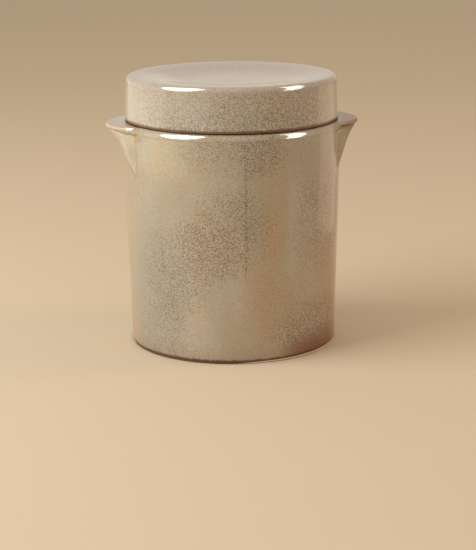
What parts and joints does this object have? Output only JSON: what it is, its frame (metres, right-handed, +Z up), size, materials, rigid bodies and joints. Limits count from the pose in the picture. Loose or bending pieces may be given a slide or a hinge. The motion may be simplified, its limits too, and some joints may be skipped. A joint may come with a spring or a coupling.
{
  "type": "ceramic preserving jar",
  "caption": "Straight-sided stoneware preserving jar with flared lug handles at the rim and a tall, flush, slightly dished lid that lifts off.",
  "frame": {"origin": "centre of the flat foot, on the surface that the jar stands on", "axes": "+Z up along the axis the jar was turned on; the lugs point along +X and -X; -Y is the front"},
  "size_m": [0.166, 0.1438, 0.1779],
  "materials": {
    "jar_glaze": "glossy grey-beige salt glaze with iron speckle, soft runs and a browner foot",
    "lid_glaze": "glossy grey-beige salt glaze, more densely speckled on the side"
  },
  "bodies": {
    "root": {"jar": "jar_glaze", "lid": "lid_glaze"}
  },
  "joints": []
}
